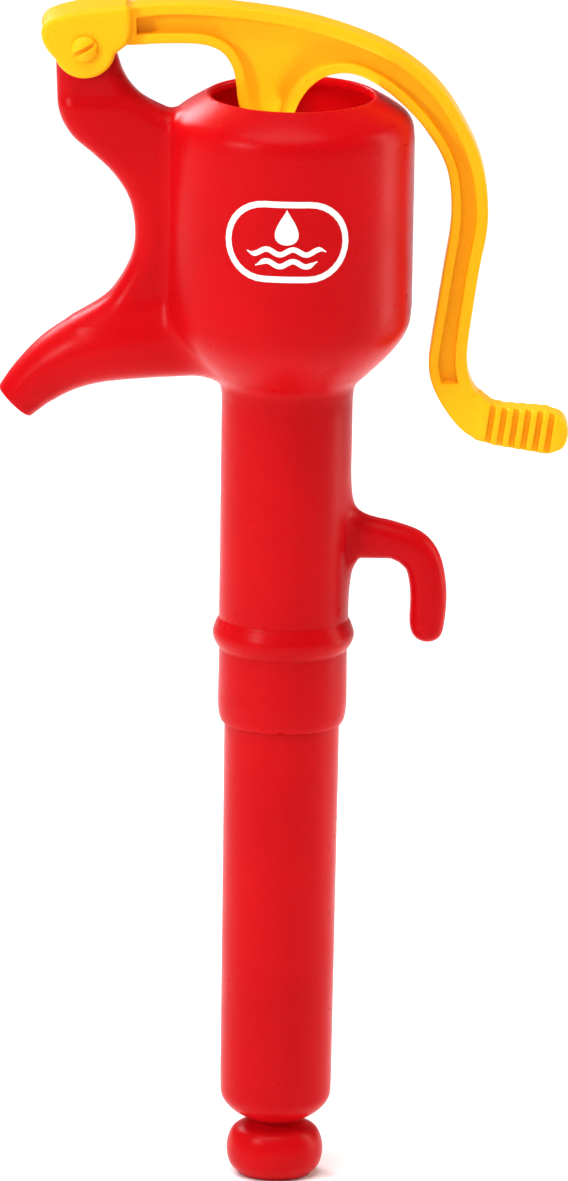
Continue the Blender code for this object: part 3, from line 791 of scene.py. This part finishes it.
def make_rod():
    """The piston rod, from the clevis down to the spigot that holds the piston."""
    top = PIN.z - 0.0116
    radius, edge = 0.0040, 0.0004
    spigot, spigot_top, bottom = 0.0030, 0.2629, 0.2450
    profile = [
        (0, top),
        *rounded_edge((radius - edge, top - edge), edge, 90),
        (radius, spigot_top),
        (spigot, spigot_top),
        (spigot, bottom + edge),
        (spigot - edge, bottom),
        (0, bottom),
    ]
    rod = turned("rod_shaft", profile, 64)
    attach(rod, "piston")
    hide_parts("piston_rod")
    return rod


# The printed mark: a water drop over waves, in a rounded frame


def lofted(shape, one_side, other_side, columns):
    """Adds a strip between two paths on the head's front. The paths are (distance round, height)."""
    print_radius = HEAD_RADIUS + 0.00012
    rows = []
    for (s0, z0), (s1, z1) in zip(one_side, other_side):
        row = []
        for t in np.linspace(0, 1, columns + 1):
            turn = (s0 + (s1 - s0) * t) / HEAD_RADIUS
            height = z0 + (z1 - z0) * t
            place = (print_radius * math.sin(turn), -print_radius * math.cos(turn), height)
            row.append(shape.verts.new(place))
        rows.append(row)
    for upper, lower in zip(rows, rows[1:]):
        for a, b, c, d in zip(upper, upper[1:], lower[1:], lower):
            shape.faces.new((a, b, c, d))


def add_frame(shape, centre):
    """A line round a box with half-round ends."""
    width, height, line = 0.0527, 0.0342, 0.0026
    longest_step = 0.0015
    outer = rounded_box(-width / 2, width / 2, -height / 2, height / 2, height / 2 - 0.0001)
    outer = subdivided(np.vstack([outer, outer[:1]]), longest_step)
    lofted(shape, centre + outer, centre + offset(outer, -line), 2)


def add_wave(shape, centre, level, length):
    """A wavy line with tapered ends."""
    line_half, rise, pitch = 0.0011, 0.0011, 0.0110
    taper_length, narrowest = 0.0030, 0.25
    along = np.linspace(-length / 2, length / 2, 60)
    wave = np.column_stack([along, level + rise * np.sin(along / pitch * 2 * math.pi)])
    taper = np.clip((length / 2 - np.abs(along)) / taper_length, narrowest, 1)
    half = line_half * taper[:, None]
    lofted(shape, centre + offset(wave, -half), centre + offset(wave, half), 2)


def add_drop(shape, centre):
    """A water drop, pointed at the top."""
    height, half_width, middle = 0.0150, 0.0049, 0.0062
    t = np.linspace(0, math.pi, 40)[1:-1]
    level = middle + height / 2 * np.cos(t)
    half = np.sin(t) * np.sin(t / 2) ** 1.5
    half *= half_width / half.max()
    left, right = np.column_stack([-half, level]), np.column_stack([half, level])
    lofted(shape, centre + left, centre + right, 10)


def make_mark():
    """The print is a thin plate, sunk in the wall so that it stands a tenth of a millimetre proud."""
    centre = np.array(MARK_CENTRE)
    shape = bmesh.new()
    add_frame(shape, centre)
    add_wave(shape, centre, -0.0042, 0.03300)
    add_wave(shape, centre, -0.0092, 0.02574)
    add_drop(shape, centre)
    mesh = bpy.data.meshes.new("drop_mark")
    bmesh.ops.recalc_face_normals(shape, faces=shape.faces)
    shape.to_mesh(mesh)
    shape.free()
    mark = new_object("drop_mark", mesh)
    thicken = mark.modifiers.new("thickness", "SOLIDIFY")
    thicken.thickness = 0.0004
    thicken.offset = -1.0
    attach(mark, "pump_body")
    return mark


# Materials


class Nodes:
    """A material's node tree, built with short calls."""

    def __init__(self, name):
        self.material = bpy.data.materials.new(name)
        self.material.use_nodes = True
        self.tree = self.material.node_tree
        self.shader = self.tree.nodes["Principled BSDF"]
        self.place = self.add("ShaderNodeTexCoord").outputs["Object"]

    def add(self, kind, **settings):
        node = self.tree.nodes.new(kind)
        for name, value in settings.items():
            setattr(node, name, value)
        return node

    def link(self, start, end):
        self.tree.links.new(start, end)

    def noise(self, scale, detail=3.0, roughness=0.5):
        """Noise over the object's own coordinates, from 0 to 1. The scale is in waves for each metre."""
        node = self.add("ShaderNodeTexNoise")
        node.inputs["Scale"].default_value = scale
        node.inputs["Detail"].default_value = detail
        node.inputs["Roughness"].default_value = roughness
        self.link(self.place, node.inputs["Vector"])
        return node.outputs["Fac"]

    def ranged(self, value, low, high, start=0.3, end=0.7):
        """The value's stretch from start to end, spread from low to high."""
        node = self.add("ShaderNodeMapRange")
        node.inputs["From Min"].default_value = start
        node.inputs["From Max"].default_value = end
        node.inputs["To Min"].default_value = low
        node.inputs["To Max"].default_value = high
        self.link(value, node.inputs["Value"])
        return node.outputs["Result"]

    def math(self, operation, first, second=0.0):
        """A sum on a socket and a number. An operation on one value leaves the number out."""
        node = self.add("ShaderNodeMath", operation=operation)
        self.link(first, node.inputs[0])
        node.inputs[1].default_value = second
        return node.outputs["Value"]

    def blended(self, fac, first, second):
        """A colour between two, each one a colour or a socket."""
        node = self.add("ShaderNodeMix", data_type="RGBA")
        self.link(fac, node.inputs["Factor"])
        for name, value in (("A", first), ("B", second)):
            socket = next(s for s in node.inputs if s.name == name and s.type == "RGBA")
            if isinstance(value, tuple):
                socket.default_value = (*value, 1)
            else:
                self.link(value, socket)
        return next(s for s in node.outputs if s.type == "RGBA")

    def bump(self, height, distance, strength=1.0, under=None):
        """A bumped normal, on top of the one under it if there is one."""
        node = self.add("ShaderNodeBump")
        node.inputs["Distance"].default_value = distance
        node.inputs["Strength"].default_value = strength
        self.link(height, node.inputs["Height"])
        if under:
            self.link(under, node.inputs["Normal"])
        return node.outputs["Normal"]


def plastic(name, colours, roughness, grain, seam=False, glow=0.0):
    """A moulded plastic: colours (usual, darker, paler), roughness (least, most) and the grain's height.

    A seam is the raised line that a mould leaves along y = 0. The glow is the share of light that spreads under
    the surface.
    """
    specular, glow_depth, glow_spread = 0.065, 0.004, (1.0, 0.12, 0.08)
    fleck_strength = 0.35
    ripple_height, ripple_strength = 0.00035, 0.5
    seam_height, seam_strength = 0.00010, 0.8
    seam_top, seam_foot = 0.0002, 0.0009
    nodes = Nodes(name)
    usual, darker, paler = colours

    patches = nodes.ranged(nodes.noise(18, 2.0), 0, 1)
    flecks = nodes.ranged(nodes.noise(900, 2.0, 0.6), 0, 1, 0.35, 0.75)
    colour = nodes.blended(patches, darker, usual)
    colour = nodes.blended(nodes.math("MULTIPLY", flecks, fleck_strength), colour, paler)
    nodes.link(colour, nodes.shader.inputs["Base Color"])

    wear = nodes.noise(60, 4.0, 0.6)
    nodes.link(nodes.ranged(wear, *roughness), nodes.shader.inputs["Roughness"])
    nodes.shader.inputs["Specular IOR Level"].default_value = specular
    nodes.shader.inputs["IOR"].default_value = 1.5
    nodes.shader.inputs["Subsurface Weight"].default_value = glow
    nodes.shader.inputs["Subsurface Radius"].default_value = glow_spread
    nodes.shader.inputs["Subsurface Scale"].default_value = glow_depth

    surface = nodes.bump(nodes.noise(1400, 3.0, 0.6), grain)
    surface = nodes.bump(nodes.noise(45, 1.5), ripple_height, ripple_strength, surface)
    if seam:
        side = nodes.add("ShaderNodeSeparateXYZ")
        nodes.link(nodes.place, side.inputs["Vector"])
        ridge = nodes.ranged(nodes.math("ABSOLUTE", side.outputs["Y"]), 1, 0, seam_top, seam_foot)
        surface = nodes.bump(ridge, seam_height, seam_strength, surface)
    nodes.link(surface, nodes.shader.inputs["Normal"])
    return nodes.material


def give(material, *objects):
    """Puts the material in every slot of each object."""
    for obj in objects:
        if not obj.material_slots:
            obj.data.materials.append(material)
        for slot in obj.material_slots:
            slot.material = material


# Light, floor and camera


def place_light(name, kind, energy, place, target):
    """A lamp of this kind, turned towards a point."""
    light = bpy.data.lights.new(name, kind)
    light.energy = energy
    obj = bpy.data.objects.new(name, light)
    bpy.context.scene.collection.objects.link(obj)
    obj.location = place
    obj.rotation_euler = (target - place).to_track_quat("-Z", "Y").to_euler()
    return light


def softbox(name, place, target, size, power, colour=(1, 1, 1)):
    light = place_light(name, "AREA", power, place, target)
    light.shape = "RECTANGLE"
    light.size, light.size_y = size
    light.color = colour


def make_lights():
    """A broad overhead light, two softboxes, a warm strip on the right and a small lamp in the mouth."""
    middle = Vector((0, 0, 0.2476))
    overhead = place_light("overhead", "SUN", 3.0, middle, middle + Vector((0.12, 0.28, -1.0)))
    overhead.angle = math.radians(50)
    softbox("left_softbox", middle + Vector((-1.10, -0.95, 0.72)), middle, (0.26, 0.34), 12)
    warm = (1.0, 0.86, 0.74)
    softbox("right_strip", middle + Vector((1.15, 0.25, 0.30)), middle, (0.24, 1.10), 9, warm)
    pink = (1.0, 0.85, 0.90)
    softbox("back_softbox", middle + Vector((-0.75, 1.02, 0.80)), middle, (0.60, 0.40), 14, pink)
    fill = place_light("mouth_fill", "POINT", 0.10, Vector((0.016, -0.026, 0.425)), middle)
    fill.shadow_soft_size = 0.008

    world = bpy.data.worlds.new("studio")
    world.use_nodes = True
    background = world.node_tree.nodes["Background"]
    background.inputs["Color"].default_value = (1, 1, 1, 1)
    background.inputs["Strength"].default_value = 0.22
    bpy.context.scene.world = world


def make_floor():
    """A wide sheet of pale paper, a little below the foot."""
    reach, drop = 30.0, -0.0004
    corners = [(-reach, -reach, drop), (reach, -reach, drop), (reach, reach, drop), (-reach, reach, drop)]
    mesh = bpy.data.meshes.new("floor")
    mesh.from_pydata(corners, [], [(0, 1, 2, 3)])
    floor = new_object("floor", mesh)
    nodes = Nodes("floor_paper")
    tone = nodes.blended(nodes.noise(6, 3.0), (0.93, 0.93, 0.93), (0.96, 0.96, 0.96))
    nodes.link(tone, nodes.shader.inputs["Base Color"])
    nodes.shader.inputs["Roughness"].default_value = 0.9
    nodes.shader.inputs["Specular IOR Level"].default_value = 0.0
    give(nodes.material, floor)


def make_camera():
    """Looks along +Y from 14 degrees above, turned a little about its own axis."""
    distance, height, roll = 10.0, 0.2497, 0.0172
    elevation = math.radians(14)
    sensor, view_height = 36.0, 0.490
    camera = bpy.data.cameras.new("camera")
    camera.sensor_fit = "VERTICAL"
    camera.sensor_height = sensor
    camera.lens = sensor * distance / view_height
    obj = bpy.data.objects.new("camera", camera)
    bpy.context.scene.collection.objects.link(obj)
    back, up = distance * math.cos(elevation), distance * math.sin(elevation)
    tilt = Matrix.Rotation(math.pi / 2 - elevation, 4, "X")
    obj.matrix_world = Matrix.Translation((0, -back, height + up)) @ tilt @ Matrix.Rotation(roll, 4, "Z")
    bpy.context.scene.camera = obj


# Colours are (usual, darker, paler)
RED = ((0.52, 0.0018, 0.0045), (0.45, 0.0012, 0.0040), (0.62, 0.0050, 0.0070))
YELLOW = ((0.97, 0.455, 0.006), (0.94, 0.40, 0.004), (1.0, 0.56, 0.015))
NATURAL = ((0.80, 0.79, 0.74), (0.74, 0.72, 0.66), (0.88, 0.87, 0.83))
RUBBER = ((0.020, 0.020, 0.021), (0.014, 0.014, 0.015), (0.045, 0.045, 0.045))
WHITE = ((0.90, 0.90, 0.88), (0.84, 0.84, 0.82), (0.95, 0.95, 0.94))

# CAD nodes inside the pump, which stay and only get their material here
INNER_PLASTIC = (
    "intake_strainer",
    "ball_seat",
    "ball_stop",
    "pivot_bush",
    "piston_plate",
    "cup_retainer",
    "piston_nut",
)
INNER_RUBBER = ("socket_seal", "foot_ball", "piston_cup", "piston_flap")

bpy.context.scene.view_settings.view_transform = "Standard"
body = make_body()
lever = make_lever()
screw = make_screw()
clevis = make_clevis()
tube = make_tube()
nut = make_nut()
pin, pin_cap = make_leg_pin()
rod = make_rod()
mark = make_mark()

red = plastic("red_moulded", RED, (0.26, 0.36), 0.00004, seam=True, glow=0.35)
yellow = plastic("yellow_moulded", YELLOW, (0.30, 0.40), 0.00003)
natural = plastic("natural_moulded", NATURAL, (0.30, 0.45), 0.00003)
rubber = plastic("soft_rubber", RUBBER, (0.55, 0.75), 0.00006)
print_white = plastic("screen_print", WHITE, (0.40, 0.55), 0.00002)
give(red, body, tube)
give(yellow, lever, screw, nut)
give(natural, clevis, pin, pin_cap, rod, *(frame["nodes"][name] for name in INNER_PLASTIC))
give(rubber, *(frame["nodes"][name] for name in INNER_RUBBER))
give(print_white, mark)

make_lights()
make_floor()
make_camera()
